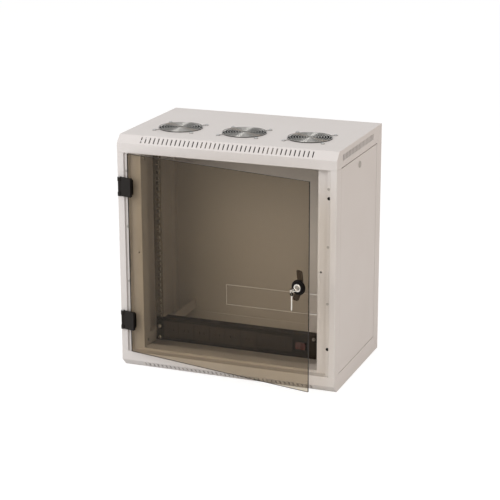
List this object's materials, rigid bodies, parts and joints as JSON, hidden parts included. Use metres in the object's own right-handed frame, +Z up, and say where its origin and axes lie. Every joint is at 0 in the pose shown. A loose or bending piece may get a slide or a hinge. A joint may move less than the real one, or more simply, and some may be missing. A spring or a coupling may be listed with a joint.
{
  "type": "rack cabinet",
  "caption": "Wall-mounted network rack cabinet with a hinged tinted-glass door, roof fans, lift-off side panels, rack rails and a rack-mounted power panel.",
  "frame": {"origin": "middle of the base's underside, half-way along the carcass's width and depth", "axes": "+X to the right as seen from the door, +Y from the door to the rear panel, +Z up"},
  "size_m": [0.604, 0.5305, 0.6386],
  "materials": {
    "powder_coat": "light-grey textured powder coat",
    "zinc_steel": "zinc-plated steel",
    "nickel": "nickel plate",
    "guard_wire": "chrome-plated wire",
    "black_steel": "black coated steel",
    "black_plastic": "moulded black plastic",
    "module_plastic": "moulded dark plastic",
    "switch_red": "glossy red plastic",
    "stator_iron": "laminated iron with windings",
    "tinted_glass": "bronze-tinted toughened glass",
    "buffer_rubber": "soft rubber"
  },
  "bodies": {
    "cabinet": {"base_pan": "powder_coat", "roof_pan": "powder_coat", "rear_panel": "powder_coat", "cable_entry_plate": "powder_coat", "front_post_left": "powder_coat", "front_post_right": "powder_coat", "front_sill": "powder_coat", "front_header": "powder_coat", "depth_bar_left_lower": "powder_coat", "depth_bar_left_upper": "powder_coat", "depth_bar_right_lower": "powder_coat", "depth_bar_right_upper": "powder_coat", "rack_rail_left": "zinc_steel", "rack_rail_right": "zinc_steel", "frame_bolts": "zinc_steel", "frame_nuts": "zinc_steel", "bar_rivets": "zinc_steel", "cage_nuts": "zinc_steel", "panel_screws": "zinc_steel", "fan_screws": "zinc_steel", "fan_nuts": "zinc_steel", "hinge_bolts": "zinc_steel", "hinge_pins": "zinc_steel", "fan_guards": "guard_wire", "power_panel": "black_steel", "power_housing": "black_steel", "hinge_bracket_lower": "black_plastic", "hinge_bracket_upper": "black_plastic", "fan_frame_left": "black_plastic", "fan_frame_middle": "black_plastic", "fan_frame_right": "black_plastic", "outlet_modules": "module_plastic", "surge_module": "module_plastic", "switch_frame": "module_plastic", "power_inlet": "module_plastic", "fan_stators": "stator_iron", "door_buffers": "buffer_rubber"},
    "door": {"door_glass": "tinted_glass", "hinge_clip_lower": "black_plastic", "hinge_clip_upper": "black_plastic", "hinge_plates": "black_plastic", "clip_screws": "zinc_steel", "lock_bezel": "black_plastic", "lock_body": "nickel", "lock_nut": "zinc_steel"},
    "lock_barrel": {"lock_plug": "nickel", "lock_cam": "black_steel", "lock_cam_screw": "zinc_steel", "door_key": "nickel"},
    "spare_keys": {"key_ring": "nickel", "spare_key": "nickel", "spare_key_head": "black_plastic"},
    "fan_rotor_left": {"fan_impeller_left": "black_plastic"},
    "fan_rotor_middle": {"fan_impeller_middle": "black_plastic"},
    "fan_rotor_right": {"fan_impeller_right": "black_plastic"},
    "side_cover_left": {"side_panel_left": "powder_coat"},
    "side_turn_left": {"side_lock_left": "nickel"},
    "side_cover_right": {"side_panel_right": "powder_coat"},
    "side_turn_right": {"side_lock_right": "nickel"},
    "switch_paddle": {"switch_rocker": "switch_red"}
  },
  "joints": [
    {"name": "door_hinge", "type": "hinge", "parent": "cabinet", "child": "door", "pos_m": [-0.2925, -0.1955, 0.3175], "axis": [0, 0, -1], "range_deg": [-12, 108]},
    {"name": "lock_turn", "type": "hinge", "parent": "door", "child": "lock_barrel", "pos_m": [0.24173, -0.30343, 0.3175], "axis": [0.2079, 0.9781, 0], "range_deg": [-8, 82]},
    {"name": "key_swing", "type": "hinge", "parent": "lock_barrel", "child": "spare_keys", "pos_m": [0.23495, -0.33537, 0.3175], "axis": [0.9781, -0.2079, 0], "range_deg": [-50, 4]},
    {"name": "fan_spin_left", "type": "hinge", "parent": "cabinet", "child": "fan_rotor_left", "pos_m": [-0.18, -0.049, 0.612], "axis": [0, 0, 1], "continuous": true},
    {"name": "fan_spin_middle", "type": "hinge", "parent": "cabinet", "child": "fan_rotor_middle", "pos_m": [0, -0.049, 0.612], "axis": [0, 0, 1], "continuous": true},
    {"name": "fan_spin_right", "type": "hinge", "parent": "cabinet", "child": "fan_rotor_right", "pos_m": [0.18, -0.049, 0.612], "axis": [0, 0, 1], "continuous": true},
    {"name": "side_panel_tilt_left", "type": "hinge", "parent": "cabinet", "child": "side_cover_left", "pos_m": [-0.3, 0, 0.047], "axis": [0, -1, 0], "range_deg": [0, 15]},
    {"name": "side_lock_turn_left", "type": "hinge", "parent": "side_cover_left", "child": "side_turn_left", "pos_m": [-0.3, -0.00325, 0.566], "axis": [1, 0, 0], "range_deg": [0, 90]},
    {"name": "side_panel_tilt_right", "type": "hinge", "parent": "cabinet", "child": "side_cover_right", "pos_m": [0.3, 0, 0.047], "axis": [0, 1, 0], "range_deg": [0, 15]},
    {"name": "side_lock_turn_right", "type": "hinge", "parent": "side_cover_right", "child": "side_turn_right", "pos_m": [0.3, -0.00325, 0.566], "axis": [1, 0, 0], "range_deg": [0, 90]},
    {"name": "switch_tilt", "type": "hinge", "parent": "cabinet", "child": "switch_paddle", "pos_m": [0.1742, -0.0855, 0.08374], "axis": [0, 0, 1], "range_deg": [0, 15]}
  ]
}
